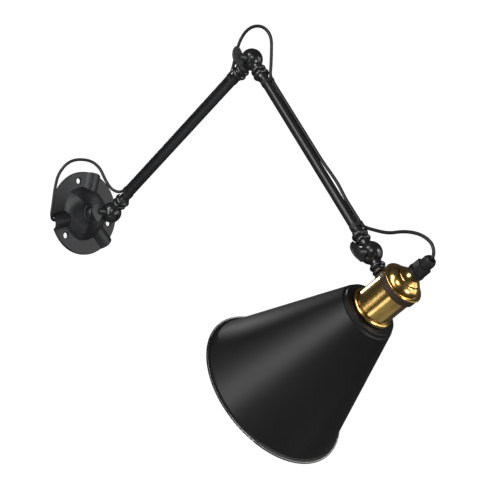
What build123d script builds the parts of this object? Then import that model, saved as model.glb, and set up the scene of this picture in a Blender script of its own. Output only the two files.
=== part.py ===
from build123d import *
from math import cos, radians, sin, tan
import os

# An accordion wall lamp: a cast wall plate, two tube arms with three wing-nut knuckles,
# a brass lamp holder and a conical shade, with its flex run along the arms.
# Millimetres. The origin is the centre of the wall plate's back; +Y goes into the wall,
# +Z is up and +X is to the right for someone who faces the lamp.

# --- Rest pose, in degrees from the horizontal ------------------------------------------
LOWER_ARM_RISE = 36.2
UPPER_ARM_FALL = 50.1
SHADE_DIP = 34.0

# --- Reach -------------------------------------------------------------------------------
JOINT_REACH = 51.1          # wall to the first knuckle
ARM_LENGTH = 275.5          # knuckle centre to knuckle centre
HOLDER_OFFSET = 48.5        # last knuckle to the lamp holder's axis

# --- Fits --------------------------------------------------------------------------------
RUNNING = 0.05              # radial clearance of what turns on a bolt
FIT = 0.05                  # radial clearance of what is pushed or screwed together
FACE_GAP = 0.05             # between faces that turn on each other
CLEAR = 0.5                 # between a neck and the ball that turns past it

# --- Wall plate --------------------------------------------------------------------------
PLATE_R = 50.0
PLATE_THICK = 3.0
PLATE_ROUND = 1.2
SCREW_R = 3.4
SCREW_BEVEL = 0.8
SCREW_CIRCLE = 79.0         # diameter of the circle of screw holes
SCREW_ANGLE = 106.0         # first hole, counter-clockwise from +X, seen from the room
CHANNEL_ANGLE = 76.0        # first cable channel
CHANNEL_R = 8.4             # bore of a channel
CHANNEL_WALL = 2.4
CHANNEL_SINK = 1.5          # its axis lies this far behind the wall face
LOBES = 3
HUB_FOOT = (35.0, 32.5)     # the hub is a three-sided dome: radius at its ridges and between
HUB_WAIST = (29.5, 27.5)
HUB_WAIST_HIGH = 9.0
HUB_TOP = (16.5, 13.5)
HUB_TOP_HIGH = 15.0
HUB_WALL = 3.0
BOSS_R = 12.0
BOSS_ROUND = 1.0
NIPPLE_R = 5.0              # M10 lamp nipple
NIPPLE_BORE = 3.6
NIPPLE_GRIP = 12.0          # its length inside the knuckle
LOCK_NUT_FLAT = 14.0        # across flats
LOCK_NUT_THICK = 3.0
LOCK_NUT_PROUD = 1.5        # nipple thread past the nut
STAR_WASHER_R = 9.0
STAR_WASHER_THICK = 1.0
STAR_TEETH = 12
HUB_ROOF = 4.1              # cast wall above the lock nut

# --- Knuckles ----------------------------------------------------------------------------
BALL_R = 12.2
BALL_FLAT = 10.6            # the poles are cut flat this far from the middle
DISC_THICK = 0.6            # fibre friction disc between the two halves
DISC_R = 9.5
BOLT_R = 2.5                # M5
BOLT_SQUARE = 3.0           # depth of the square under the head
BOLT_HEAD_R = 4.8
BOLT_HEAD_THICK = 2.6
WASHER_R = 5.2
WASHER_THICK = 1.0
STEM_R = 6.2                # neck between the ball and its first bead
STEM_ROOT = 6.0             # the neck starts this far from the ball's centre
NECK_END = 29.5             # ball centre to the end of the arm tube
BASE_NECK_END = 34.0        # ball centre to the wall plate's boss
BEAD_R = 8.6
BEAD_AT = 17.0
BEAD_HALF = 2.5
RING_R = 9.0
RING_AT = 23.4
RING_HALF = 2.7
GROOVE_R = 6.8
COLLAR_R = 8.0
COLLAR_AT = 31.0
COLLAR_HALF = 1.9
TUBE_SHOULDER_R = 6.1       # the neck where the tube meets it

# --- Wing nuts ---------------------------------------------------------------------------
WING_TURN = (88.0, 78.0, 53.0)   # rest turn of each, from +Y towards +Z
NUT_FOOT_R = 4.8
NUT_TOP_R = 4.0
NUT_TALL = 9.0
WING_THICK = 2.6
WING_ROUND = 0.9
WING_HALF = 11.6            # half the span over the two ears
WING_TALL = 18.0            # nut face to the crown
EAR_LOW = 8.4               # height of an ear's lower corner
EAR_HIGH = 12.0             # and of its upper corner
WING_ROOT = 3.2             # the blade starts this high on the nut
WING_HOLLOW = 4.9           # height of its underside half-way to the ear
BOLT_IN_NUT = 7.8           # thread that the nut takes up

# --- Arms --------------------------------------------------------------------------------
TUBE_R = 5.25
TUBE_WALL = 1.0
SPIGOT_LENGTH = 15.0
CABLE_R = 1.8
CLIP_WALL = 0.6
CLIP_WIDTH = 4.5
NEAR_CLIP_SETBACK = 4.0     # tube end to the edge of the clip, on the wall's side
FAR_CLIP_SETBACK = 2.5      # and on the far side
LOWER_FLEX_TURN = 15.0      # the flex lies this far round the tube from its top, towards -X
UPPER_FLEX_TURN = -33.0

# --- Lamp holder, measured along its axis from the stud towards the shade -------------------
BAND_R = 23.0
BAND_TOP = -17.5
BAND_LOW = -9.8
TONGUE_HALF = 7.5           # the band's tongue, which reaches down the shell to the stud
SHELL_R = 21.0
SHELL_WALL = 0.8
SHELL_BEAD_TOP = 25.0
SHELL_BEAD_R = 24.2
SHELL_BEAD_FOOT = 22.4      # the bead is flat up to here, then round
SHADE_SEAT = 30.0           # underside of the bead, where the shade hangs
SKIRT_R = 19.6              # threaded skirt below the bead
SKIRT_END = 42.0
CAP_FLANGE_THICK = 2.0
CAP_SHOULDER_R = 19.8
CAP_DOME_R = 18.0           # the dome's middle
CAP_DOME_TOP_R = 13.6
CAP_DOME_TALL = 7.6         # flange to the step
CAP_STEP_R = 12.6
CAP_STEP_TALL = 1.9
CAP_NECK_R = 8.4
CAP_TOP_R = 7.4
CAP_TALL = 18.5             # band to the top of the neck
CAP_CONE_TALL = 2.8
CAP_SPIGOT = 6.0            # length that enters the shell
CAP_WALL = 1.0
CAP_NUT_THICK = 3.0
GRIP_COLLAR_R = 9.2
GRIP_COLLAR_TALL = 4.0
GRIP_BODY_FLAT = 15.6       # across flats
GRIP_BODY_TALL = 10.0
GRIP_NUT_R = 7.0
GRIP_NUT_TALL = 10.5
GRIP_TIP_R = 5.2
GRIP_MOUTH_R = 4.2          # the tip flares inside, for the flex to bend
GRIP_MOUTH_DEEP = 5.5
GRIP_FLUTES = 12
GRIP_FLUTE_R = 0.9
STUD_R = 3.0                # M6 end of the stud
STUD_RING_R = 8.5
STUD_RING_AT = 16.6
STUD_RING_HALF = 2.2
STUD_COLLAR_R = 8.0
STUD_COLLAR_AT = 22.4
STUD_COLLAR_HALF = 2.0
STUD_FOOT_R = 4.4

# --- Inside the lamp holder ------------------------------------------------------------------
INSERT_BACK = 0.0
INSERT_R = 18.5
INSERT_FLOOR = 14.0
INSERT_END = 41.0
SOCKET_R = 13.3             # E27 screw shell, inside
SOCKET_WALL = 0.5
SOCKET_TOP = 16.0
SOCKET_END = 40.0
CONTACT_R = 4.0
CONTACT_THICK = 1.0
TERMINAL_AT = 9.5           # terminals, off the axis
TERMINAL_SIZE = 5.0
TERMINAL_TALL = 4.0
TERMINAL_SCREW_R = 1.6
TERMINAL_SCREW_TALL = 1.4
CORE_R = 0.7                # insulated cores of the flex
LEAD_END = -24.0            # where the flex's jacket ends inside the cap
RING_NUT_R = 24.5
RING_NUT_TALL = 6.0
RING_NUT_NOTCHES = 8
RING_NUT_NOTCH_R = 1.4

# --- Shade -----------------------------------------------------------------------------------
SHADE_WALL = 0.8
SHADE_STEP_R = 31.2
SHADE_STEP_TALL = 4.5
SHADE_TOP_R = 33.6
SHADE_LOW_R = 86.0
SHADE_TALL = 152.6          # bead to the foot of the cone
SHADE_ROUND = 0.9
RIM_R = 89.5
RIM_DROP = 1.6
RIM_BEAD_R = 0.9

# --- Flex: points chosen along its route -------------------------------------------------------
# Up from the left channel, over to the lower arm; from the wall plate's centre.
BASE_LOOP = (
    (-19.0, -2.3, -6.6),
    (-39.0, -2.3, -10.8),
    (-49.8, -3.4, -12.0),
    (-54.6, -7.0, -5.0),
    (-53.5, -8.0, 7.0),
    (-51.0, -7.0, 25.0),
    (-48.5, -9.5, 44.0),
    (-37.5, -17.0, 60.5),
    (-19.0, -29.5, 62.0),
    (-10.5, -39.5, 53.0),
    (-9.3, -47.5, 39.5),
    (-7.6, -56.6, 27.9),
    (-4.6, -65.0, 23.4),
)
# Over the elbow; from the elbow's centre.
ELBOW_LOOP = (
    (-1.5, 24.0, 3.7),
    (-0.9, 18.6, 23.8),
    (0.3, 5.3, 38.1),
    (1.6, -12.9, 37.9),
    (2.7, -25.9, 24.1),
    (3.5, -25.9, 3.8),
    (3.9, -25.4, -9.5),
)
# Out and over to the lamp holder's cord grip; from the last knuckle's centre.
HEAD_LOOP = (
    (3.2, -0.5, 23.2),
    (2.0, -20.4, 19.5),
    (0.9, -41.3, 21.6),
    (0.3, -61.8, 18.5),
    (0.0, -75.3, 10.8),
    (0.0, -79.4, 2.6),
)
LOOP_LEAD = 2.0             # a loop turns away this far before its clip
LOOP_HOLD = 3.0             # and starts this far along the arm past the clip's near edge
GRIP_LEAD = 1.5             # it turns this far out of the cord grip
ARC_SHARE = 0.45            # part of the shorter run that each arc takes up


# --- Frames: local +Z runs along the piece, and local X stays the joints' axis -----------------
def towards(rise):
    """Direction in the lamp's own plane, rise degrees above the horizontal, away from the wall."""
    return Vector(0, -cos(radians(rise)), sin(radians(rise)))


def along(start, rise):
    """Frame at start whose +Z points the given rise above the horizontal, away from the wall."""
    return Location(start, (90 - rise, 0, 0))


BASE_JOINT = Vector(0, -JOINT_REACH, 0)
ELBOW = BASE_JOINT + towards(LOWER_ARM_RISE) * ARM_LENGTH
HEAD_JOINT = ELBOW + towards(-UPPER_ARM_FALL) * ARM_LENGTH
STUD_RISE = SHADE_DIP - 90                  # the stud stands square to the holder's axis
HOLDER = HEAD_JOINT + towards(STUD_RISE) * HOLDER_OFFSET

WALL_FRAME = along(Vector(0, 0, 0), 0)
BASE_FRAME = along(BASE_JOINT, 180)
LOWER_FRAME = along(BASE_JOINT, LOWER_ARM_RISE)
UPPER_FRAME = along(ELBOW, -UPPER_ARM_FALL)
STUD_FRAME = along(HEAD_JOINT, STUD_RISE)
HOLDER_FRAME = along(HOLDER, 180 + SHADE_DIP)
FAR_END = Location((0, 0, ARM_LENGTH), (180, 0, 0))     # the other knuckle of an arm

BORE_R = BOLT_R + RUNNING
HALF_FACE = DISC_THICK / 2 + FACE_GAP       # each half-ball's flat face, off the mid-plane
CABLE_OFF = TUBE_R + CABLE_R + FIT          # the flex lies against the arm
HUB_HEIGHT = JOINT_REACH - BASE_NECK_END
TUBE_BORE = TUBE_R - TUBE_WALL


# --- Shapes used by several pieces ---------------------------------------------------------------
def turned(*steps):
    """Solid turned about Z. A step is (radius, height), or (radius, height, crown) for a
    stretch that swells or hollows to the crown radius half-way to it."""
    edges = []
    for start, end in zip(steps, steps[1:] + steps[:1]):
        low, high = Vector(start[0], 0, start[1]), Vector(end[0], 0, end[1])
        if len(end) == 3:
            edges.append(ThreePointArc(low, (end[2], 0, (start[1] + end[1]) / 2), high))
        else:
            edges.append(Line(low, high))
    return revolve(make_face(edges), Axis.Z)


def rod(radius, low, high):
    """Cylinder about Z between two heights."""
    return Pos(0, 0, low) * Cylinder(radius, high - low, align=(Align.CENTER, Align.CENTER, Align.MIN))


def pipe(radius, bore, low, high):
    return rod(radius, low, high) - rod(bore, low - 1, high + 1)


def across(radius, start, end):
    """Cylinder about X between two places."""
    return Rot(0, 90, 0) * rod(radius, start, end)


def slab(start, end, size):
    """Block across X between two places, square on the X axis."""
    return Pos((start + end) / 2, 0, 0) * Box(abs(end - start), size, size)


def hexagon(flats, low, high):
    return Pos(0, 0, low) * extrude(RegularPolygon(flats / 2, 6, major_radius=False), high - low)


def ringed(count, radius, piece, angle=0.0):
    """Copies of a piece around Z."""
    return [Rot(0, 0, angle + 360 / count * i) * Pos(radius, 0, 0) * piece for i in range(count)]


def bead(radius, place, half, groove):
    """Steps of one turned bead between two grooves."""
    return ((groove, place - half), (groove, place + half, radius))


# --- Wall plate --------------------------------------------------------------------------------
def lobed(radii, shrink=0.0):
    """Three-sided outline with bulged sides: its ridges point half-way between the channels."""
    ridge, side = [radius - shrink for radius in radii]
    edges = []
    for i in range(LOBES):
        middle = CHANNEL_ANGLE + 360 / LOBES * i
        ends = [middle - 180 / LOBES, middle + 180 / LOBES]
        places = [(ridge, ends[0]), (side, middle), (ridge, ends[1])]
        edges.append(ThreePointArc(*[(r * cos(radians(a)), r * sin(radians(a))) for r, a in places]))
    return make_face(edges)


def dome(shrink):
    """Three-sided dome of the hub, or the space inside it."""
    heights = 0, HUB_WAIST_HIGH - shrink, HUB_TOP_HIGH - shrink
    outlines = HUB_FOOT, HUB_WAIST, HUB_TOP
    return loft([Pos(0, 0, z) * lobed(radii, shrink) for z, radii in zip(heights, outlines)])


def channel(radius, reach):
    """Round bar lying outwards from the hub, to make or to cut one cable channel."""
    return Pos(0, 0, -CHANNEL_SINK) * across(radius, 0, reach)


def wall_plate():
    flange = rod(PLATE_R, 0, PLATE_THICK)
    flange = fillet(flange.edges().group_by(Axis.Z)[-1], PLATE_ROUND)
    boss = rod(BOSS_R, 0, HUB_HEIGHT)
    boss = fillet(boss.edges().group_by(Axis.Z)[-1], BOSS_ROUND)
    arches = ringed(LOBES, 0, channel(CHANNEL_R + CHANNEL_WALL, PLATE_R + 5), CHANNEL_ANGLE)
    plate = flange + dome(0) + boss + [arch & rod(PLATE_R, 0, HUB_HEIGHT) for arch in arches]

    space = dome(HUB_WALL) + rod(STAR_WASHER_R + 1, 0, HUB_HEIGHT - HUB_ROOF)
    plate -= space
    plate -= ringed(LOBES, 0, channel(CHANNEL_R, PLATE_R + 5), CHANNEL_ANGLE)
    plate -= rod(NIPPLE_R + FIT, 0, HUB_HEIGHT + 1)
    screw_hole = rod(SCREW_R, -1, PLATE_THICK + 1)
    bevel = Pos(0, 0, PLATE_THICK - SCREW_BEVEL / 2) * Cone(SCREW_R, SCREW_R + SCREW_BEVEL, SCREW_BEVEL)
    plate -= ringed(LOBES, SCREW_CIRCLE / 2, screw_hole + bevel, SCREW_ANGLE)
    return plate & rod(PLATE_R, 0, JOINT_REACH)


def hub_fixings():
    """The nipple that carries the first knuckle, with its star washer and lock nut."""
    roof = HUB_HEIGHT - HUB_ROOF
    nut_top = roof - STAR_WASHER_THICK
    nut_foot = nut_top - LOCK_NUT_THICK
    nipple = pipe(NIPPLE_R, NIPPLE_BORE, nut_foot - LOCK_NUT_PROUD, HUB_HEIGHT + NIPPLE_GRIP)
    washer = pipe(STAR_WASHER_R, NIPPLE_R + FIT, nut_top, roof)
    washer -= ringed(STAR_TEETH, STAR_WASHER_R, Box(2, 1.6, 4 * roof))
    nut = hexagon(LOCK_NUT_FLAT, nut_foot, nut_top) - rod(NIPPLE_R + FIT, 0, roof)
    return {"hub_nipple": nipple, "hub_star_washer": washer, "hub_lock_nut": nut}


# --- Knuckles ----------------------------------------------------------------------------------
def knuckle_half(side, neck):
    """Half a ball on its neck. The ball's centre is the origin and the neck runs up Z.
    side is -1 for the half under the wing nut and 1 for the half that holds the bolt."""
    body = Sphere(BALL_R) + neck
    sweep_r = BALL_R + CLEAR
    other_half = Pos(side * (HALF_FACE - sweep_r), 0, 0) * Box(2 * sweep_r, 3 * sweep_r, 3 * sweep_r)
    body -= Sphere(sweep_r) & other_half
    body -= slab(side * BALL_FLAT, side * 2 * BALL_R, 2 * BALL_R)
    body -= across(BORE_R, -2 * BALL_R, 2 * BALL_R)
    if side > 0:
        body -= slab(BALL_FLAT - BOLT_SQUARE, BALL_FLAT + 1, 2 * BORE_R)
    return body


def neck_beads():
    return (
        (0, STEM_ROOT),
        (STEM_R, STEM_ROOT),
        *bead(BEAD_R, BEAD_AT, BEAD_HALF, STEM_R),
        *bead(RING_R, RING_AT, RING_HALF, GROOVE_R),
    )


def arm_neck():
    """Turned neck with two beads, and the spigot that enters the tube."""
    return turned(
        *neck_beads(),
        (TUBE_SHOULDER_R, NECK_END),
        (TUBE_BORE - FIT, NECK_END),
        (TUBE_BORE - FIT, NECK_END + SPIGOT_LENGTH),
        (0, NECK_END + SPIGOT_LENGTH),
    )


def base_neck():
    """The same beads and a collar, bored for the nipple where the others have a spigot."""
    neck = turned(
        *neck_beads(),
        *bead(COLLAR_R, COLLAR_AT, COLLAR_HALF, GROOVE_R),
        (GROOVE_R + 1, BASE_NECK_END),
        (0, BASE_NECK_END),
    )
    return neck - rod(NIPPLE_R + FIT, BASE_NECK_END - NIPPLE_GRIP, BASE_NECK_END + 1)


def stud_neck():
    """Short neck that seats on the holder's band, with the stud's threaded end."""
    seat = HOLDER_OFFSET - BAND_R
    neck = turned(
        (0, STEM_ROOT),
        (STEM_R, STEM_ROOT),
        *bead(STUD_RING_R, STUD_RING_AT, STUD_RING_HALF, STEM_R),
        *bead(STUD_COLLAR_R, STUD_COLLAR_AT, STUD_COLLAR_HALF, STEM_R - 0.8),
        (STUD_FOOT_R, seat),
        (STUD_FOOT_R, seat + 2),
        (0, seat + 2),
    )
    neck -= Pos(0, 0, HOLDER_OFFSET) * Rot(90, 0, 0) * Cylinder(BAND_R + FIT, 4 * STUD_FOOT_R)
    return neck + rod(STUD_R, STEM_ROOT, HOLDER_OFFSET - SHELL_R - FIT)


def bolt():
    """Carriage bolt from the far side: domed head, square neck, plain and threaded shank."""
    head = Rot(0, 90, 0) * turned(
        (0, BALL_FLAT),
        (BOLT_HEAD_R, BALL_FLAT),
        (BOLT_HEAD_R, BALL_FLAT + BOLT_HEAD_THICK / 3),
        (0.6, BALL_FLAT + BOLT_HEAD_THICK, BOLT_HEAD_R * 0.72),
        (0, BALL_FLAT + BOLT_HEAD_THICK),
    )
    shank_end = -BALL_FLAT - WASHER_THICK - FACE_GAP - BOLT_IN_NUT
    square = slab(BALL_FLAT - BOLT_SQUARE + FIT, BALL_FLAT, 2 * BOLT_R)
    return head + square + across(BOLT_R, shank_end, BALL_FLAT)


def friction_disc():
    return across(DISC_R, -DISC_THICK / 2, DISC_THICK / 2) - across(BORE_R, -1, 1)


def spring_washer():
    return across(WASHER_R, -BALL_FLAT - WASHER_THICK, -BALL_FLAT) - across(BORE_R, -2 * BALL_R, 0)


def wing_nut(turn):
    """Nut with a flat, round-crowned key. It is built up Z from its bearing face, then laid on
    the bolt's axis and turned."""
    body = turned((0, 0), (NUT_FOOT_R, 0), (NUT_FOOT_R, 1), (NUT_TOP_R, NUT_TALL), (0, NUT_TALL))
    root = (NUT_TOP_R - 0.6, WING_ROOT)
    low, high = (WING_HALF, EAR_LOW), (WING_HALF - 0.4, EAR_HIGH)
    ear = WING_HALF + 0.5, (EAR_LOW + EAR_HIGH) / 2
    side = [ThreePointArc(root, (0.66 * WING_HALF, WING_HOLLOW), low), ThreePointArc(low, ear, high)]
    crown = ThreePointArc(high, (0, WING_TALL), (-high[0], high[1]))
    foot = Line((-root[0], WING_ROOT), root)
    outline = [*side, crown, *[mirror(edge, Plane.YZ) for edge in side], foot]
    blade = Rot(90, 0, 0) * extrude(make_face(outline), WING_THICK / 2, both=True)
    blade = fillet(blade.faces().sort_by(Axis.Y)[0].edges().sort_by(Axis.Z)[-1], WING_ROUND)
    blade = fillet(blade.faces().sort_by(Axis.Y)[-1].edges().sort_by(Axis.Z)[-1], WING_ROUND)
    nut = body + blade - rod(BORE_R, -1, BOLT_IN_NUT + 0.4)
    face = -BALL_FLAT - WASHER_THICK - FACE_GAP
    return Rot(turn, 0, 0) * Pos(face, 0, 0) * Rot(0, -90, 0) * Rot(0, 0, 90) * nut


# --- Arms ----------------------------------------------------------------------------------------
def arm_tube():
    return pipe(TUBE_R, TUBE_BORE, NECK_END, ARM_LENGTH - NECK_END)


def clips():
    """Two spring bands that hold the flex against the tube, one at each end."""
    flex = Pos(0, CABLE_OFF)
    outside = make_hull(
        [*Circle(TUBE_R + CLIP_WALL).edges(), *(flex * Circle(CABLE_R + CLIP_WALL)).edges()]
    )
    inside = Circle(TUBE_R + FIT) + flex * Circle(CABLE_R + FIT)
    band = extrude(outside - inside, CLIP_WIDTH)
    far = ARM_LENGTH - NECK_END - FAR_CLIP_SETBACK - CLIP_WIDTH
    return [Pos(0, 0, NECK_END + NEAR_CLIP_SETBACK) * band, Pos(0, 0, far) * band]


# --- Lamp holder ---------------------------------------------------------------------------------
def holder_band():
    """Closed steel band between the cap and the shell. Its tongue is tapped for the stud."""
    tongue = Rot(90, 0, 0) * rod(TONGUE_HALF, 0, 2 * BAND_R)
    tongue += Pos(0, -BAND_R, BAND_LOW / 2) * Box(2 * TONGUE_HALF, 2 * BAND_R, -BAND_LOW)
    band = pipe(BAND_R, SHELL_R + FIT, BAND_TOP, BAND_LOW)
    band += pipe(BAND_R, SHELL_R + FIT, BAND_LOW, TONGUE_HALF + 1) & tongue
    return band - Rot(90, 0, 0) * rod(STUD_R + FIT, 0, 2 * BAND_R)


def holder_cap():
    flange = BAND_TOP - CAP_FLANGE_THICK
    step = flange - CAP_DOME_TALL
    top = BAND_TOP - CAP_TALL
    neck = step - CAP_STEP_TALL - CAP_CONE_TALL
    spigot = SHELL_R - SHELL_WALL - FIT
    outside = turned(
        (0, BAND_TOP + CAP_SPIGOT),
        (spigot, BAND_TOP + CAP_SPIGOT),
        (spigot, BAND_TOP),
        (BAND_R, BAND_TOP),
        (BAND_R, flange, BAND_R + 0.6),
        (CAP_SHOULDER_R, flange),
        (CAP_DOME_TOP_R, step, CAP_DOME_R),
        (CAP_STEP_R, step),
        (CAP_STEP_R, step - CAP_STEP_TALL, CAP_STEP_R + 0.5),
        (CAP_NECK_R, neck, CAP_NECK_R + 2),
        (CAP_TOP_R, top),
        (0, top),
    )
    inside = turned(
        (0, BAND_TOP + CAP_SPIGOT + 1),
        (spigot - CAP_WALL, BAND_TOP + CAP_SPIGOT + 1),
        (spigot - CAP_WALL, flange + 1),
        (CAP_SHOULDER_R - CAP_WALL, flange),
        (CAP_STEP_R - CAP_WALL, step, CAP_DOME_R - CAP_WALL),
        (0, step),
    )
    return outside - inside - rod(NIPPLE_R + FIT, top - 1, 0)


def cap_fixings():
    """Nipple through the cap's neck, its nut inside the dome, and the nylon cord grip on top."""
    top = BAND_TOP - CAP_TALL
    step = BAND_TOP - CAP_FLANGE_THICK - CAP_DOME_TALL
    collar = top - GRIP_COLLAR_TALL
    body = collar - GRIP_BODY_TALL
    tip = body - GRIP_NUT_TALL
    hole = rod(CABLE_R + FIT, tip - 1, 0)
    nipple = pipe(NIPPLE_R, NIPPLE_BORE, collar - 2, step + CAP_NUT_THICK)
    nut = hexagon(LOCK_NUT_FLAT, step, step + CAP_NUT_THICK) - rod(NIPPLE_R + FIT, step - 1, 0)
    grip = turned((0, collar), (GRIP_COLLAR_R, collar), (GRIP_COLLAR_R, top, GRIP_COLLAR_R + 0.3), (0, top))
    grip += hexagon(GRIP_BODY_FLAT, body, collar)
    grip -= rod(NIPPLE_R + FIT, collar - 2, top + 1) + hole
    cone = GRIP_NUT_TALL / 3
    cap_nut = turned(
        (0, body),
        (GRIP_NUT_R, body),
        (GRIP_NUT_R, tip + cone),
        (GRIP_TIP_R, tip, GRIP_NUT_R - 0.8),
        (0, tip),
    )
    throat = tip + GRIP_MOUTH_DEEP
    mouth = turned((0, tip), (GRIP_MOUTH_R, tip), (CABLE_R, throat, CABLE_R + 0.6), (0, throat))
    flutes = ringed(GRIP_FLUTES, GRIP_NUT_R + GRIP_FLUTE_R / 2, rod(GRIP_FLUTE_R, tip, body))
    return {
        "cap_nipple": nipple,
        "cap_nut": nut,
        "cord_grip_body": grip,
        "cord_grip_nut": cap_nut - flutes - mouth - hole,
    }


def holder_shell():
    bore = SHELL_R - SHELL_WALL
    return turned(
        (bore, BAND_TOP),
        (SHELL_R, BAND_TOP),
        (SHELL_R, SHELL_BEAD_TOP),
        (SHELL_BEAD_FOOT, SHELL_BEAD_TOP),
        (SHELL_BEAD_FOOT, SHADE_SEAT, SHELL_BEAD_R),
        (SKIRT_R, SHADE_SEAT),
        (SKIRT_R, SKIRT_END),
        (SKIRT_R - SHELL_WALL, SKIRT_END),
        (SKIRT_R - SHELL_WALL, SHELL_BEAD_TOP + 2),
        (bore, SHELL_BEAD_TOP),
    )


def shade_ring_nut():
    """Notched ring that screws onto the skirt and clamps the shade from inside."""
    top = SHADE_SEAT + SHADE_WALL
    ring = pipe(RING_NUT_R, SKIRT_R + FIT, top, top + RING_NUT_TALL)
    return ring - ringed(RING_NUT_NOTCHES, RING_NUT_R, rod(RING_NUT_NOTCH_R, top + 1, top + RING_NUT_TALL + 1))


def socket_parts():
    """Porcelain insert with its screw shell, centre contact, terminals and terminal screws."""
    insert = rod(INSERT_R, INSERT_BACK, INSERT_END)
    insert -= rod(SOCKET_R + SOCKET_WALL + FIT, INSERT_FLOOR, INSERT_END + 1)
    insert -= [Pos(s * TERMINAL_AT, 0, 0) * rod(1.4, 0, INSERT_FLOOR + 1) for s in (-1, 1)]
    shell = pipe(SOCKET_R + SOCKET_WALL, SOCKET_R, SOCKET_TOP, SOCKET_END)
    tabs = [
        Pos(s * TERMINAL_AT, 0, 0) * rod(1.2, INSERT_BACK, INSERT_FLOOR)
        for s in (-1, 1)
    ]
    contact = rod(CONTACT_R, INSERT_FLOOR, INSERT_FLOOR + CONTACT_THICK)
    spring = turned(
        (0, INSERT_FLOOR + CONTACT_THICK),
        (CONTACT_R, INSERT_FLOOR + CONTACT_THICK),
        (0, INSERT_FLOOR + 1.8 * CONTACT_THICK, CONTACT_R * 0.7),
    )
    block = Pos(0, 0, INSERT_BACK - TERMINAL_TALL / 2) * Box(TERMINAL_SIZE, TERMINAL_SIZE, TERMINAL_TALL)
    screw = rod(TERMINAL_SCREW_R, 0, TERMINAL_SCREW_TALL)
    slot = Pos(0, 0, TERMINAL_SCREW_TALL) * Box(4, 0.5, 1)
    side = Pos(TERMINAL_SIZE / 2, 0, INSERT_BACK - TERMINAL_TALL / 2) * Rot(0, 90, 0)
    terminals = [Rot(0, 0, a) * Pos(TERMINAL_AT, 0, 0) * block + tab for a, tab in zip((180, 0), tabs)]
    screws = [Rot(0, 0, a) * Pos(TERMINAL_AT, 0, 0) * side * (screw - slot) for a in (0, 180)]
    return {
        "socket_insert": insert,
        "socket_screw_shell": shell,
        "socket_centre_contact": contact + spring,
        "socket_terminals": terminals,
        "terminal_screws": screws,
    }


# --- Shade ---------------------------------------------------------------------------------------
def shade():
    """Spun steel cone with a stepped top, a turned-out rim and a rolled edge."""
    top = SHADE_SEAT
    ledge = top + SHADE_STEP_TALL
    foot = top + SHADE_TALL
    wall = SHADE_WALL
    lip = foot + RIM_DROP
    cone = turned(
        (SKIRT_R + FIT, top),
        (SHADE_STEP_R - SHADE_ROUND, top),
        (SHADE_STEP_R, top + SHADE_ROUND, SHADE_STEP_R - 0.3 * SHADE_ROUND),
        (SHADE_STEP_R, ledge - SHADE_ROUND),
        (SHADE_STEP_R + SHADE_ROUND, ledge, SHADE_STEP_R + 0.3 * SHADE_ROUND),
        (SHADE_TOP_R - SHADE_ROUND, ledge),
        (SHADE_TOP_R, ledge + SHADE_ROUND, SHADE_TOP_R - 0.3 * SHADE_ROUND),
        (SHADE_LOW_R, foot),
        (RIM_R, lip, SHADE_LOW_R + 1.2),
        (RIM_R, lip + wall),
        (SHADE_LOW_R - wall, foot + wall, SHADE_LOW_R + 0.4),
        (SHADE_TOP_R - wall, ledge + SHADE_ROUND + wall),
        (SHADE_STEP_R - wall, ledge + wall),
        (SHADE_STEP_R - wall, top + wall),
        (SKIRT_R + FIT, top + wall),
    )
    edge = Rot(90, 0, 0) * Pos(RIM_R, lip + wall / 2) * Circle(RIM_BEAD_R)
    return cone + revolve(edge, Axis.Z)


# --- Flex ----------------------------------------------------------------------------------------
def arc_radii(points):
    """Radius at each corner: as large as the two runs beside it allow."""
    radii = []
    for before, corner, after in zip(points, points[1:], points[2:]):
        run_in, run_out = corner - before, after - corner
        half_turn = radians(run_in.get_angle(run_out) / 2)
        radii.append(ARC_SHARE * min(run_in.length, run_out.length) / tan(half_turn))
    return radii


def flex(name, points):
    """Round flex along a route of straight runs joined by arcs."""
    radii = arc_radii(points)
    path = FilletPolyline(*points, radius=radii)
    tube = sweep(Plane(path @ 0, z_dir=path % 0) * Circle(CABLE_R), path)
    section = Circle(CABLE_R).area
    print(name, "length", round(path.length, 1), "radii", [round(r, 1) for r in radii],
          "volume over section x length", round(tube.volume / section / path.length, 4))
    return tube


def on_arm(frame, turn, height):
    """Point of the flex against an arm, at a height along the arm."""
    return (frame * Rot(0, 0, turn) * Location((0, CABLE_OFF, height))).position


def arm_holds():
    """Heights on an arm where the loops end, and where they turn away from it."""
    near = NECK_END + NEAR_CLIP_SETBACK
    far = ARM_LENGTH - NECK_END - FAR_CLIP_SETBACK
    return near + LOOP_HOLD, near - LOOP_LEAD, far + LOOP_LEAD, far - LOOP_HOLD


def flex_route():
    """Routes of the free loops, with the ends tied to the pieces that hold them."""
    lower = [on_arm(LOWER_FRAME, LOWER_FLEX_TURN, height) for height in arm_holds()]
    upper = [on_arm(UPPER_FRAME, UPPER_FLEX_TURN, height) for height in arm_holds()]
    axis = towards(180 + SHADE_DIP)
    grip = HOLDER + axis * (grip_tip() + GRIP_MOUTH_DEEP)
    corner = HOLDER + axis * (grip_tip() - GRIP_LEAD)
    return {
        "flex_base_loop": [*[Vector(*p) for p in BASE_LOOP], lower[1], lower[0]],
        "flex_elbow_loop": [
            lower[3], lower[2], *[ELBOW + Vector(*p) for p in ELBOW_LOOP], upper[1], upper[0]
        ],
        "flex_head_loop": [
            upper[3], upper[2], *[HEAD_JOINT + Vector(*p) for p in HEAD_LOOP], corner, grip
        ],
    }


def grip_tip():
    return BAND_TOP - CAP_TALL - GRIP_COLLAR_TALL - GRIP_BODY_TALL - GRIP_NUT_TALL


def arm_flex():
    """Straight stretch between an arm's two clips."""
    start, _, _, end = arm_holds()
    return Pos(0, CABLE_OFF, 0) * rod(CABLE_R, start, end)


def cores(count, spread, length):
    """Bare ends of the insulated cores, ready for a connector in the wall box."""
    return ringed(count, spread, rod(CORE_R, 0, length), 90)


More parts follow.
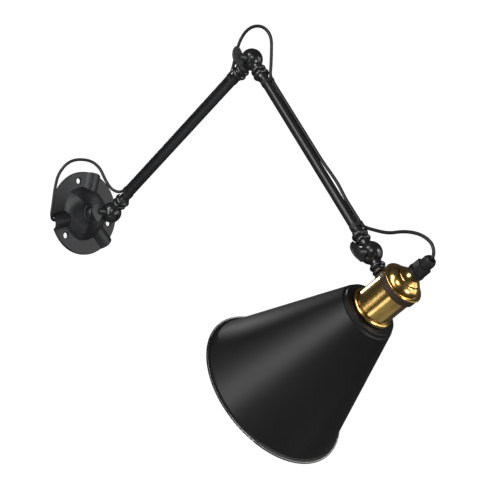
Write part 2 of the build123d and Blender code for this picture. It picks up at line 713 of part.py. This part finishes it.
def socket_leads():
    """Two cores from the end of the jacket to the terminals."""
    leads = []
    for side in (-1, 1):
        near = side * (CORE_R + FIT)
        out = side * TERMINAL_AT
        end = INSERT_BACK - TERMINAL_TALL
        points = [(near, 0, LEAD_END), (near, 0, LEAD_END + 5), (out, 0, end - 8), (out, 0, end)]
        points = [Vector(*p) for p in points]
        path = FilletPolyline(*points, radius=[4.0, 4.0])
        leads.append(sweep(Plane(path @ 0, z_dir=path % 0) * Circle(CORE_R), path))
    return leads


# --- The lamp --------------------------------------------------------------------------------------
def base_parts():
    inner_end = Vector(*BASE_LOOP[0])
    first_run = Vector(*BASE_LOOP[1]) - inner_end
    core_frame = Plane(inner_end, x_dir=(0, 1, 0), z_dir=first_run * -1).location
    parts = {"wall_plate": WALL_FRAME * wall_plate()}
    parts |= {name: WALL_FRAME * piece for name, piece in hub_fixings().items()}
    parts["mains_cores"] = [core_frame * core for core in cores(3, 0.85, 6.0)]
    parts["base_knuckle"] = BASE_FRAME * knuckle_half(-1, base_neck())
    return parts


def arm_parts(name, frame, flex_turn):
    beside = frame * Rot(0, 0, flex_turn)
    return {
        f"{name}_arm_near_knuckle": frame * knuckle_half(1, arm_neck()),
        f"{name}_arm_far_knuckle": frame * FAR_END * knuckle_half(-1, arm_neck()),
        f"{name}_arm_tube": frame * arm_tube(),
        f"{name}_arm_clips": [beside * clip for clip in clips()],
        f"{name}_arm_flex": beside * arm_flex(),
    }


def joint_parts(name, frame, turn):
    """Friction disc, bolt, spring washer and wing nut of one knuckle. The frame is that of the
    half that holds the bolt's square."""
    place = Location(frame.position)
    return {
        f"{name}_friction_disc": place * friction_disc(),
        f"{name}_bolt": frame * bolt(),
        f"{name}_spring_washer": place * spring_washer(),
        f"{name}_wing_nut": place * wing_nut(turn),
    }


def head_parts():
    parts = {
        "head_stud": STUD_FRAME * knuckle_half(1, stud_neck()),
        "holder_band": HOLDER_FRAME * holder_band(),
        "holder_cap": HOLDER_FRAME * holder_cap(),
        "holder_shell": HOLDER_FRAME * holder_shell(),
        "shade_ring_nut": HOLDER_FRAME * shade_ring_nut(),
        "shade": HOLDER_FRAME * shade(),
        "socket_leads": [HOLDER_FRAME * lead for lead in socket_leads()],
        "flex_in_grip": HOLDER_FRAME * rod(CABLE_R, grip_tip() + GRIP_MOUTH_DEEP, LEAD_END),
    }
    for name, piece in {**cap_fixings(), **socket_parts()}.items():
        pieces = piece if isinstance(piece, list) else [piece]
        parts[name] = [HOLDER_FRAME * p for p in pieces]
    return parts


def lamp():
    parts = base_parts()
    parts |= arm_parts("lower", LOWER_FRAME, LOWER_FLEX_TURN)
    parts |= arm_parts("upper", UPPER_FRAME, UPPER_FLEX_TURN)
    parts |= head_parts()
    names = "base_joint", "elbow_joint", "head_joint"
    for name, frame, turn in zip(names, (LOWER_FRAME, UPPER_FRAME, STUD_FRAME), WING_TURN):
        parts |= joint_parts(name, frame, turn)
    parts |= {name: flex(name, route) for name, route in flex_route().items()}
    return parts


os.makedirs("parts", exist_ok=True)
for node, shape in lamp().items():
    solids = [solid for piece in (shape if isinstance(shape, list) else [shape]) for solid in piece.solids()]
    export_step(solids[0] if len(solids) == 1 else Compound(children=solids), f"parts/{node}.step")
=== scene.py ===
import bmesh
import bpy
from math import atan2, cos, degrees, pi, radians, sin
from mathutils import Matrix, Vector


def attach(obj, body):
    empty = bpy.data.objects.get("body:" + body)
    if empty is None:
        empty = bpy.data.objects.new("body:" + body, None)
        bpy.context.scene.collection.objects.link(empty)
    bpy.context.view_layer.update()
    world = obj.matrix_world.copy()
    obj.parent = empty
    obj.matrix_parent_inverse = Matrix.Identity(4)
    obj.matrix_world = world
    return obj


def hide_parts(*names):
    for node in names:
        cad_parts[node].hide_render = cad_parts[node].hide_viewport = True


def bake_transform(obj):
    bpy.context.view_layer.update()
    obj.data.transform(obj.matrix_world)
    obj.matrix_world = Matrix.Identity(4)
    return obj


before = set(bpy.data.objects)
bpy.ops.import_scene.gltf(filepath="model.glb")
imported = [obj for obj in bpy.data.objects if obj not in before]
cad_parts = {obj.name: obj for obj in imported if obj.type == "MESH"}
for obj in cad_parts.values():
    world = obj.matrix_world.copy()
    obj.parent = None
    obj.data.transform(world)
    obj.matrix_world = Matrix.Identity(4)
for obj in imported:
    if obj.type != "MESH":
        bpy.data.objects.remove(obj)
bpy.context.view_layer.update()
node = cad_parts


# --- Wall plate ----------------------------------------------------------------------------------
# A thin iron casting: a round flange, three open cable channels, and a low hub with three flat
# facets and soft ridges between them. Its satin black paint is greyer on edges, partly where it
# lies thinner and partly as a painted highlight.
class Wire:
    """A shader socket. Sums and products of wires add Math nodes, and node() adds any kind."""

    def __init__(self, tree, socket):
        self.tree, self.socket = tree, socket

    def node(self, kind, inputs, out=0, stops=(), **settings):
        made = self.tree.nodes.new("ShaderNode" + kind)
        for name, value in settings.items():
            setattr(made, name, value)
        for element, (place, level) in zip(made.color_ramp.elements if stops else (), stops):
            element.position, element.color = place, (level, level, level, 1)
        for name, value in inputs.items():
            if isinstance(value, Wire):
                self.tree.links.new(value.socket, made.inputs[name])
            else:
                made.inputs[name].default_value = value
        return Wire(self.tree, made.outputs[out])

    def math(self, operation, other=0.0):
        return self.node("Math", {0: self, 1: other}, operation=operation)

    def __add__(self, other):
        return self.math("ADD", other)

    def __sub__(self, other):
        return self.math("SUBTRACT", other)

    def __rsub__(self, other):
        return self.node("Math", {0: other, 1: self}, operation="SUBTRACT")

    def __mul__(self, other):
        return self.math("MULTIPLY", other)

    __radd__, __rmul__ = __add__, __mul__

    def vector(self, operation, other=(0, 0, 0)):
        """Vector maths on these coordinates. A measure of them comes out as a number."""
        out = 1 if operation in ("DISTANCE", "DOT_PRODUCT", "LENGTH") else 0
        return self.node("VectorMath", {0: self, 1: other}, out=out, operation=operation)

    def noise(self, scale, detail=3.0, drawn=(1, 1, 1), lean=0.0):
        """Soft noise on these coordinates, drawn out along the axes of a piece that leans by some
        degrees about X."""
        settings = {"Vector": self, "Scale": drawn, "Rotation": (radians(lean), 0, 0)}
        moved = self.node("Mapping", settings, vector_type="TEXTURE")
        return self.node("TexNoise", {"Vector": moved, "Scale": scale, "Detail": detail})

    def lines(self, scale, detail=2.0):
        """Noise along one number only, as the tool marks on a turned piece."""
        inputs = {"W": self, "Scale": scale, "Detail": detail}
        return self.node("TexNoise", inputs, noise_dimensions="1D")

    def thread(self, pitch):
        """Rounded ridges along one number."""
        return (self * (2 * pi / pitch)).math("SINE")

    def ramp(self, low, high):
        """Mask that rises from 0 to 1 between two values."""
        return self.node("ValToRGB", {"Fac": self}, stops=((low, 0), (high, 1)))

    def span(self, near, far):
        """Mask that rises from 0 to 1 between two distances."""
        return self.node("MapRange", {"Value": self, "From Min": near, "From Max": far})

    def tint(self, dark, light):
        """Colour between two, by this mask."""
        return self.node("Mix", {0: self, 6: (*dark, 1), 7: (*light, 1)}, out=2, data_type="RGBA")

    def bump(self, distance, strength=1.0):
        return self.node("Bump", {"Height": self, "Distance": distance, "Strength": strength})


def start_finish(name, metal=0.0, sheen=0.5):
    """New material, with its shader and the place of each point on the lamp."""
    made = bpy.data.materials.new(name)
    made.use_nodes = True
    surface = made.node_tree.nodes["Principled BSDF"]
    surface.inputs["Metallic"].default_value = metal
    surface.inputs["Specular IOR Level"].default_value = sheen
    spot = made.node_tree.nodes.new("ShaderNodeTexCoord").outputs["Object"]
    return made, surface, Wire(made.node_tree, spot)


def lay(surface, colour, roughness, normal=None):
    """Joins what varies over a surface to its shader."""
    for name, value in (("Base Color", colour), ("Roughness", roughness), ("Normal", normal)):
        if isinstance(value, Wire):
            value.tree.links.new(value.socket, surface.inputs[name])
        elif value is not None:
            surface.inputs[name].default_value = value


def outer_edge_mask(place, radius, gain):
    """Mask of the outer edges, for thin finish there and, on the plate, a painted highlight: how far a
    rounded normal turns away.
    """
    rounded = place.node("Bevel", {"Radius": radius}, samples=6)
    flat = place.node("NewGeometry", {}, out=1)
    return ((1 - rounded.vector("DOT_PRODUCT", flat)) * gain).ramp(0.0, 1.0)


def dress(material, *names):
    """Gives a finish to pieces of the frame."""
    for name in names:
        node[name].data.materials.clear()
        node[name].data.materials.append(material)


cast_paint, surface, place = start_finish("cast_paint", sheen=0.5)
skin = place.noise(420.0, 4.0)
blotch = place.noise(45.0, 2.0)

# The frame's hub is a smooth dome. This height turns it, as bump, into facets that face three
# ways. They average no height, and fade out at the dome's foot.
FACET_WAYS = (76, 196, 316)
FACET_SLOPE, MEAN_FALL = 0.6, 0.83
FADE_START, FADE_END = 0.0167, 0.029
flat = place.vector("MULTIPLY", (1, 0, 1))
reach = flat.vector("LENGTH")
falls = [flat.vector("DOT_PRODUCT", (cos(radians(way)), 0, sin(radians(way)))) for way in FACET_WAYS]
steepest = falls[0].math("MAXIMUM", falls[1]).math("MAXIMUM", falls[2])
inner = 1 - reach.span(FADE_START, FADE_END)
facets = (reach * MEAN_FALL - steepest) * FACET_SLOPE * inner

# Greyer edges: partly thinner paint, partly a painted highlight.
thin = blotch.ramp(0.35, 0.7) * 0.40 + outer_edge_mask(place, 0.0009, 4.0) * 0.6
lay(
    surface,
    thin.tint((0.010, 0.0103, 0.0115), (0.038, 0.040, 0.046)),
    0.32 + blotch * 0.22 + skin * 0.10,
    (facets + (skin * 0.6 + place.noise(160.0, 2.0)) * 0.00009).bump(1.0),
)
dress(cast_paint, "wall_plate")


# --- Nipple, star washer and lock nut ------------------------------------------------------------
# Stock steel fittings that clamp the first knuckle to the plate, seen only from the wall's side.
# They have a faintly spangled zinc plating, and so do the nipple, nut and screws in the lamp
# holder. The long nipple has a fine thread.
zinc, surface, place = start_finish("zinc", metal=1.0)
spangle = place.noise(900.0, 4.0)
lay(
    surface,
    spangle.tint((0.42, 0.42, 0.44), (0.66, 0.66, 0.68)),
    0.26 + spangle * 0.2,
    spangle.bump(0.0001, 0.3),
)
dress(zinc, "hub_star_washer", "hub_lock_nut", "cap_nipple", "cap_nut", "terminal_screws")

NIPPLE_PITCH = 0.001
threaded, surface, place = start_finish("threaded_zinc", metal=1.0)
spangle = place.noise(900.0, 4.0)
into_wall = place.node("SeparateXYZ", {"Vector": place}, out=1)
ridges = into_wall.thread(NIPPLE_PITCH)
lay(
    surface,
    (spangle * 0.5 + ridges * 0.25).tint((0.36, 0.36, 0.38), (0.66, 0.66, 0.68)),
    0.3,
    ridges.bump(0.0002, 0.8),
)
dress(threaded, "hub_nipple")


# --- Knuckles ------------------------------------------------------------------------------------
# Cast half-balls with turned, beaded necks, two to a joint. Satin black paint over the rings that
# the lathe left round each ball's bolt, and rubbed a little thin on the beads.
BASE_JOINT = Vector((0.0, -0.0511, 0.0))
ELBOW = Vector((0.0, -0.2734176, 0.1627119))
HEAD_JOINT = Vector((0.0, -0.4501369, -0.0486421))
BALL_R, BALL_EDGE = 0.0124, 0.0004

turned_paint, surface, place = start_finish("turned_paint", sheen=0.65)
cloud = place.noise(60.0, 2.0)
beside = place.node("SeparateXYZ", {"Vector": place})
rings = beside.lines(800.0, 1.0)
away = [place.vector("DISTANCE", joint) for joint in (BASE_JOINT, ELBOW, HEAD_JOINT)]
nearest = away[0].math("MINIMUM", away[1]).math("MINIMUM", away[2])
on_ball = 1 - nearest.span(BALL_R, BALL_R + BALL_EDGE)
thin = cloud.ramp(0.4, 0.75) * 0.4 + outer_edge_mask(place, 0.0005, 3.0) * 0.35
lay(
    surface,
    thin.tint((0.009, 0.0093, 0.010), (0.024, 0.0245, 0.027)),
    0.22 + cloud * 0.05,
    (rings * on_ball).bump(0.00005, 0.4),
)
dress(
    turned_paint,
    "base_knuckle",
    "lower_arm_near_knuckle",
    "lower_arm_far_knuckle",
    "upper_arm_near_knuckle",
    "upper_arm_far_knuckle",
    "head_stud",
)


# --- Friction discs ------------------------------------------------------------------------------
# A disc of pressed brown fibre between the two halves of each knuckle, which lets the joint be
# set stiff. Only its rim shows, as a thin line round the ball.
fibre, surface, place = start_finish("pressed_fibre", sheen=0.2)
strands = place.noise(1600.0, 5.0, drawn=(0.2, 1, 1))
lay(
    surface,
    strands.tint((0.020, 0.013, 0.009), (0.07, 0.045, 0.03)),
    0.8 + strands * 0.15,
    strands.bump(0.0001, 0.6),
)
dress(fibre, "base_joint_friction_disc", "elbow_joint_friction_disc", "head_joint_friction_disc")


# --- Bolts and washers ---------------------------------------------------------------------------
# Blackened steel coach bolts with domed heads, and plain spring washers under the wing nuts.
# The oil-black finish is thin and shows the steel at the edges.
blackened, surface, place = start_finish("blackened_steel", metal=0.7, sheen=0.5)
grain = place.noise(1100.0, 4.0)
lay(
    surface,
    (outer_edge_mask(place, 0.0003, 4.0) * 0.6 + grain * 0.2).tint((0.014, 0.014, 0.016), (0.12, 0.12, 0.125)),
    0.34 + grain * 0.2,
    grain.bump(0.00012, 0.4),
)
dress(
    blackened,
    "base_joint_bolt",
    "elbow_joint_bolt",
    "head_joint_bolt",
    "base_joint_spring_washer",
    "elbow_joint_spring_washer",
    "head_joint_spring_washer",
)


# --- Wing nuts -----------------------------------------------------------------------------------
# Flat round-crowned keys, die cast with their nuts and painted black. Hands rub the crowns, so
# the paint is smoother and a little lighter there.
key_paint, surface, place = start_finish("key_paint", sheen=0.5)
skin = place.noise(350.0, 3.0)
rubbed = outer_edge_mask(place, 0.0007, 4.0)
lay(
    surface,
    (rubbed * 0.6 + skin * 0.15).tint((0.010, 0.0103, 0.0115), (0.034, 0.035, 0.039)),
    0.34 + skin * 0.14 - rubbed * 0.1,
    skin.bump(0.00006, 0.4),
)
dress(key_paint, "base_joint_wing_nut", "elbow_joint_wing_nut", "head_joint_wing_nut")


# --- Arms ----------------------------------------------------------------------------------------
# Drawn steel tube, sprayed satin black. It is the smoothest paint on the lamp, with faint streaks
# along each tube from the drawing.
def dress_tube(name, start, end):
    """Finish of the tube between two joints, with its streaks along it."""
    lean = degrees(atan2(start.y - end.y, end.z - start.z))
    tube_paint, surface, place = start_finish(name + "_paint", sheen=0.4)
    streak = place.noise(260.0, 3.0, drawn=(1, 1, 30), lean=lean)
    cloud = place.noise(55.0, 2.0)
    thin = streak.ramp(0.35, 0.75) * 0.6 + cloud * 0.3
    lay(
        surface,
        thin.tint((0.0075, 0.0077, 0.0085), (0.0165, 0.017, 0.0185)),
        0.22 + streak * 0.08 + cloud * 0.08,
        (streak * 0.4 + cloud).bump(0.00004, 0.3),
    )
    dress(tube_paint, name)


dress_tube("lower_arm_tube", BASE_JOINT, ELBOW)
dress_tube("upper_arm_tube", ELBOW, HEAD_JOINT)


# --- Clips ---------------------------------------------------------------------------------------
# Small black bands that hold the flex to each arm, two to an arm, of matte moulded plastic.
clip_plastic, surface, place = start_finish("clip_plastic", sheen=0.35)
pores = place.noise(700.0, 4.0)
lay(
    surface,
    pores.tint((0.008, 0.008, 0.009), (0.018, 0.018, 0.020)),
    0.46 + pores * 0.2,
    pores.bump(0.0001, 0.4),
)
dress(clip_plastic, "lower_arm_clips", "upper_arm_clips")


# --- Flex ----------------------------------------------------------------------------------------
# Round sheathed cable, 3.6 mm, smooth black. It lies along the arms, with a small bow off the
# upper one near its foot, and makes a free loop over each knuckle.
sheath, surface, place = start_finish("sheath", sheen=0.35)
mark = place.noise(120.0, 3.0)
lay(
    surface,
    mark.tint((0.006, 0.006, 0.0064), (0.012, 0.012, 0.013)),
    0.36 + mark * 0.14,
    mark.bump(0.00005, 0.25),
)
dress(sheath, "flex_in_grip")

FLEX_R = 0.0018
OVER_BASE = (
    (-0.01900, -0.00230, -0.00660),
    (-0.03900, -0.00230, -0.01080),
    (-0.04980, -0.00340, -0.01200),
    (-0.05460, -0.00700, -0.00500),
    (-0.05350, -0.00800, 0.00700),
    (-0.05100, -0.00700, 0.02500),
    (-0.04850, -0.00950, 0.04400),
    (-0.03750, -0.01700, 0.06050),
    (-0.01900, -0.02950, 0.06200),
    (-0.01050, -0.03950, 0.05300),
    (-0.00930, -0.04750, 0.03950),
    (-0.00760, -0.05660, 0.02790),
    (-0.00460, -0.06500, 0.02340),
    (-0.00184, -0.07247, 0.02414),
    (-0.00184, -0.07650, 0.02709),
)
OVER_ELBOW = (
    (-0.00184, -0.24112, 0.14757),
    (-0.00184, -0.24516, 0.15053),
    (-0.00150, -0.24942, 0.16641),
    (-0.00090, -0.25482, 0.18651),
    (0.00030, -0.26812, 0.19921),
    (0.00160, -0.28632, 0.19901),
    (0.00270, -0.29932, 0.18681),
    (0.00350, -0.29932, 0.16651),
    (0.00390, -0.29882, 0.15321),
    (0.00387, -0.29819, 0.14237),
    (0.00387, -0.30140, 0.13853),
)
OVER_HEAD = (
    (0.00387, -0.43225, -0.01797),
    (0.00387, -0.43546, -0.02181),
    (0.00320, -0.45064, -0.02544),
    (0.00200, -0.47054, -0.02914),
    (0.00090, -0.49144, -0.02704),
    (0.00030, -0.51194, -0.03014),
    (0.00000, -0.52544, -0.03784),
    (0.00000, -0.52954, -0.04604),
    (0.00000, -0.52866, -0.05418),
    (0.00000, -0.52285, -0.05809),
)
ALONG_LOWER = (
    OVER_BASE[-1],
    (-0.00181, -0.09399, 0.03977),
    (-0.00181, -0.22375, 0.13473),
    OVER_ELBOW[0],
)
ALONG_UPPER = (
    OVER_ELBOW[-1],
    (0.00382, -0.31520, 0.12191),
    (0.00382, -0.36677, 0.06023),
    (0.00382, -0.37767, 0.04719),
    (0.00382, -0.38947, 0.03494),
    (0.00382, -0.40090, 0.02236),
    (0.00382, -0.41038, 0.00806),
    (0.00382, -0.41833, -0.00145),
    OVER_HEAD[0],
)


def draw_flex(name, route):
    """One stretch of the flex, smooth along its route, in place of the frame's piece."""
    line = bpy.data.curves.new(name, "CURVE")
    line.dimensions, line.resolution_u = "3D", 12
    line.bevel_depth, line.bevel_resolution, line.use_fill_caps = FLEX_R, 6, True
    spline = line.splines.new("NURBS")
    spline.points.add(len(route) - 1)
    for point, place in zip(spline.points, route):
        point.co = (*place, 1)
    spline.order_u, spline.use_endpoint_u = 3, True
    drawn = bpy.data.objects.new(name + "_line", line)
    bpy.context.scene.collection.objects.link(drawn)
    mesh = bpy.data.meshes.new_from_object(drawn)
    bpy.data.objects.remove(drawn)
    mesh.shade_smooth()
    flex = bpy.data.objects.new(name + "_smooth", mesh)
    flex.data.materials.clear()
    flex.data.materials.append(sheath)
    bpy.context.scene.collection.objects.link(flex)
    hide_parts(name)
    return flex


base_loop = draw_flex("flex_base_loop", OVER_BASE)
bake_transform(base_loop)
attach(draw_flex("lower_arm_flex", ALONG_LOWER), "lower_arm")
elbow_loop = draw_flex("flex_elbow_loop", OVER_ELBOW)
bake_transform(elbow_loop)
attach(draw_flex("upper_arm_flex", ALONG_UPPER), "upper_arm")
head_loop = draw_flex("flex_head_loop", OVER_HEAD)
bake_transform(head_loop)


# --- Cores ---------------------------------------------------------------------------------------
# The insulated wires inside the sheath, bared behind the hub and inside the lamp holder. Glossy
# plastic in one brown.
insulation, surface, place = start_finish("insulation", sheen=0.5)
lay(
    surface,
    place.noise(500.0).tint((0.16, 0.062, 0.022), (0.24, 0.10, 0.04)),
    0.28 + place.noise(900.0) * 0.1,
)
dress(insulation, "mains_cores", "socket_leads")


# --- Lamp holder: cap and shell ------------------------------------------------------------------
# Spun brass, browned and rubbed back, then lacquered. The brown stays in the corners and round the
# foot of the bead, fine lines run round the axis, and the skirt in the shade is threaded.
HOLDER = Vector((0.0, -0.4772578, -0.0888505))
DIP = 34.0
INTO_SHADE = Vector((0.0, cos(radians(DIP)), -sin(radians(DIP))))
SKIRT_TOP, SKIRT_EDGE, SKIRT_PITCH = 0.0368, 0.0002, 0.0015
antique, surface, place = start_finish("antique_brass", metal=1.0)
from_stud = place.vector("SUBTRACT", HOLDER)
down_axis = from_stud.vector("DOT_PRODUCT", INTO_SHADE)
lathe = down_axis.lines(1500.0, 3.0)
patina = place.noise(70.0, 4.0, drawn=(1, 1, 2.5), lean=-90 - DIP)
smear = place.noise(240.0, 3.0, drawn=(1, 1, 4), lean=-90 - DIP)
recess = 1 - place.node("AmbientOcclusion", {"Distance": 0.004}, out=1, samples=8)
thread = down_axis.thread(SKIRT_PITCH)
on_skirt = down_axis.span(SKIRT_TOP, SKIRT_TOP + SKIRT_EDGE)
clouded = patina.ramp(0.40, 0.66) * 0.42 + smear.ramp(0.42, 0.68) * 0.38
brown = clouded + recess.ramp(0.10, 0.60) * 0.9 + lathe * 0.10
lay(
    surface,
    brown.ramp(0.0, 1.0).tint((0.82, 0.56, 0.150), (0.31, 0.13, 0.028)),
    0.14 + lathe * 0.07 + patina * 0.08,
    (lathe * 0.2 + thread * on_skirt).bump(0.00012, 0.5),
)
surface.inputs["Coat Weight"].default_value = 0.6
surface.inputs["Coat IOR"].default_value = 1.65
surface.inputs["Coat Roughness"].default_value = 0.14
dress(antique, "holder_cap", "holder_shell", "shade_ring_nut")


# --- Lamp holder: band ---------------------------------------------------------------------------
# The dark closed band between the cap and the shell, tapped for the head's stud. Oil-rubbed
# bronze on steel, dull, with brown worn through at its edges.
bronze, surface, place = start_finish("dark_bronze", metal=0.6)
rub = place.noise(420.0, 4.0)
lay(
    surface,
    (outer_edge_mask(place, 0.0005, 4.0) * 0.5 + rub * 0.35).tint((0.030, 0.021, 0.014), (0.15, 0.095, 0.050)),
    0.40 + rub * 0.18,
    rub.bump(0.0001, 0.4),
)
dress(bronze, "holder_band")


# --- Cord grip -----------------------------------------------------------------------------------
# Black moulded nylon: a collar and a six-sided body on the cap's nipple, and a fluted nut that
# squeezes the flex. Dull, with a fine spark-eroded texture.
nylon, surface, place = start_finish("black_nylon", sheen=0.3)
eroded = place.noise(600.0, 5.0)
lay(
    surface,
    eroded.tint((0.005, 0.005, 0.005), (0.010, 0.010, 0.010)),
    0.46 + eroded * 0.2,
    eroded.bump(0.0002, 0.5),
)
dress(nylon, "cord_grip_body", "cord_grip_nut")


# --- Shade ---------------------------------------------------------------------------------------
# A cone spun from one sheet of steel, with a stepped top and a turned-out rim with a rolled edge.
# Powder coated satin black outside and off-white inside, with a very fine orange-peel skin.
coat, surface, place = start_finish("powder_coat", sheen=0.27)
peel = place.noise(850.0, 4.0)
drift = place.noise(14.0, 2.0)
from_stud = place.vector("SUBTRACT", HOLDER)
depth = from_stud.vector("DOT_PRODUCT", INTO_SHADE)
on_axis = depth.node("CombineXYZ", {0: 0.0, 1: depth * INTO_SHADE.y, 2: depth * INTO_SHADE.z})
outwards = from_stud.vector("SUBTRACT", on_axis)
facing = place.node("TexCoord", {}, out=1)
within = (0.0 - outwards.vector("DOT_PRODUCT", facing)).ramp(0.0, 0.004)
thin = drift.ramp(0.3, 0.8) * 0.6 + outer_edge_mask(place, 0.0008, 3.0) * 0.4
black = thin.tint((0.0055, 0.0055, 0.0057), (0.0090, 0.0090, 0.0093))
white = peel.tint((0.70, 0.69, 0.66), (0.80, 0.79, 0.76))
lay(
    surface,
    within.node("Mix", {0: within, 6: black, 7: white}, out=2, data_type="RGBA"),
    0.38 + drift * 0.08 + peel * 0.04,
    peel.bump(0.00010, 0.3),
)
dress(coat, "shade")


# --- Socket --------------------------------------------------------------------------------------
# A glazed porcelain insert with brass terminals and a centre contact. The screw shell is thin
# brass rolled into the round thread that takes the bulb's cap.
porcelain, surface, place = start_finish("porcelain", sheen=0.5)
glaze = place.noise(200.0, 2.0)
lay(
    surface,
    glaze.tint((0.74, 0.73, 0.69), (0.83, 0.82, 0.79)),
    0.10 + glaze * 0.1,
    glaze.bump(0.0001, 0.15),
)
dress(porcelain, "socket_insert")

plain_brass, surface, place = start_finish("plain_brass", metal=1.0)
scuff = place.noise(500.0, 4.0)
lay(surface, scuff.tint((0.55, 0.39, 0.15), (0.74, 0.55, 0.24)), 0.2 + scuff * 0.2, scuff.bump(0.0001, 0.2))
dress(plain_brass, "socket_centre_contact", "socket_terminals")

PITCH, ROOT, CREST = 0.00362, 0.01375, 0.0124
SHELL_TOP, SHELL_END, SHEET = 0.0161, 0.0399, 0.0003
TURNS, ROUND_STEPS, WAVE_STEPS = 9, 48, 10
bm = bmesh.new()
wave = []
for i in range(WAVE_STEPS + 1):
    radius = (ROOT + CREST) / 2 + (ROOT - CREST) / 2 * cos(2 * pi * i / WAVE_STEPS)
    wave.append(bm.verts.new((radius, 0, SHELL_TOP - PITCH + PITCH * i / WAVE_STEPS)))
line = [bm.edges.new(pair) for pair in zip(wave, wave[1:])]
bmesh.ops.spin(
    bm,
    geom=wave + line,
    axis=(0, 0, 1),
    cent=(0, 0, 0),
    dvec=(0, 0, PITCH / ROUND_STEPS),
    angle=TURNS * 2 * pi,
    steps=TURNS * ROUND_STEPS,
)
bmesh.ops.remove_doubles(bm, verts=bm.verts, dist=0.00002)
for height, way in ((SHELL_TOP, -1), (SHELL_END, 1)):
    everything = bm.verts[:] + bm.edges[:] + bm.faces[:]
    bmesh.ops.bisect_plane(
        bm, geom=everything, plane_co=(0, 0, height), plane_no=(0, 0, way), clear_outer=True
    )
bmesh.ops.recalc_face_normals(bm, faces=bm.faces)
bmesh.ops.solidify(bm, geom=bm.faces[:], thickness=SHEET)
bm.transform(Matrix.Translation(HOLDER) @ Matrix.Rotation(radians(-90 - DIP), 4, "X"))
mesh = bpy.data.meshes.new("rolled_shell")
bm.to_mesh(mesh)
bm.free()
mesh.shade_smooth()
rolled_shell = bpy.data.objects.new("rolled_shell", mesh)
bpy.context.scene.collection.objects.link(rolled_shell)
rolled_shell.data.materials.append(plain_brass)
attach(rolled_shell, "head")
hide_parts("socket_screw_shell")


# --- Floor ---------------------------------------------------------------------------------------
# A pale round table well below the lamp, on its own: the lamp hangs clear of it, as it does from
# its wall. The lamp's paint and brass don't mirror it.
FLOOR_R, FLOOR_AT = 1.5, (0, -0.25, -0.72)
bm = bmesh.new()
level = Matrix.Translation(FLOOR_AT)
bmesh.ops.create_circle(bm, cap_ends=True, segments=96, radius=FLOOR_R, matrix=level)
mesh = bpy.data.meshes.new("floor")
bm.to_mesh(mesh)
bm.free()
floor = bpy.data.objects.new("floor", mesh)
bpy.context.scene.collection.objects.link(floor)
pale, surface, place = start_finish("pale_floor", sheen=0.2)
lay(surface, place.noise(3.0).tint((0.78, 0.78, 0.78), (0.82, 0.82, 0.82)), 0.8)
floor.data.materials.append(pale)
floor.visible_glossy = False


# --- Light ---------------------------------------------------------------------------------------
# A soft studio: three boxes to the camera's left, three to its right and one above it, one behind
# the lamp for its outlines, and two faint ones under the arms and the brass. The surround is white.
def softbox(name, place, towards, size, power):
    """A rectangular light of some width and height that faces a point."""
    light = bpy.data.lights.new(name, "AREA")
    light.shape, light.size, light.size_y, light.energy = "RECTANGLE", *size, power
    lamp = bpy.data.objects.new(name, light)
    lamp.location = place
    lamp.rotation_mode = "QUATERNION"
    lamp.rotation_quaternion = (Vector(towards) - Vector(place)).to_track_quat("-Z", "Y")
    bpy.context.scene.collection.objects.link(lamp)


MIDDLE = (0, -0.27, -0.03)
softbox("tall", (-1.80, -0.36, 0.25), MIDDLE, (0.7, 1.5), 25)
softbox("strip", (-1.40, 0.25, -0.50), (0, -0.45, -0.1), (0.1, 0.9), 1.0)
softbox("high", (-1.35, -0.36, 1.30), MIDDLE, (0.7, 0.7), 12)
softbox("rim", (0.50, 1.50, 0.75), MIDDLE, (0.25, 0.3), 8.5)
softbox("fill", (1.30, -1.80, 0.10), MIDDLE, (1.4, 1.4), 10)
softbox("front", (-1.27, -1.54, 0.68), MIDDLE, (0.55, 0.6), 7)
softbox("spot", (0.75, -1.75, 0.45), MIDDLE, (0.55, 0.55), 6)
softbox("low", (0.10, -2.10, -0.45), MIDDLE, (0.45, 0.4), 10)
softbox("table", (-0.10, -0.42, -0.70), (-0.10, -0.42, 0), (1.0, 0.5), 0.4)
softbox("glint", (-0.47, -0.36, -0.66), HOLDER, (0.16, 0.16), 0.2)

world = bpy.data.worlds.new("surround")
bpy.context.scene.world = world
world.use_nodes = True
sky = world.node_tree.nodes["Background"]
sky.inputs["Color"].default_value = (1, 1, 1, 1)
path = world.node_tree.nodes.new("ShaderNodeLightPath")
seen = Wire(world.node_tree, path.outputs["Is Camera Ray"])
world.node_tree.links.new((0.06 + seen).socket, sky.inputs["Strength"])


# --- Camera --------------------------------------------------------------------------------------
# Level with the lamp, out to its left and a little below its middle, with a long lens. The
# picture leans two degrees.
AZIMUTH, CLIMB, LEAN = radians(-46.05), radians(2.39), radians(2.04)
CAMERA_AT, FOCAL_LENGTH = (-1.2387, -1.4751, -0.1170), 114.7
back = Vector((sin(AZIMUTH) * cos(CLIMB), -cos(AZIMUTH) * cos(CLIMB), -sin(CLIMB)))
right = Vector((cos(AZIMUTH), sin(AZIMUTH), 0))
up = back.cross(right)
view = Matrix((right, up, back)).transposed() @ Matrix.Rotation(LEAN, 3, "Z")
lens = bpy.data.cameras.new("camera")
lens.lens = FOCAL_LENGTH
camera = bpy.data.objects.new("camera", lens)
camera.matrix_world = Matrix.Translation(CAMERA_AT) @ view.to_4x4()
bpy.context.scene.collection.objects.link(camera)
bpy.context.scene.camera = camera
bpy.context.scene.view_settings.view_transform = "Standard"
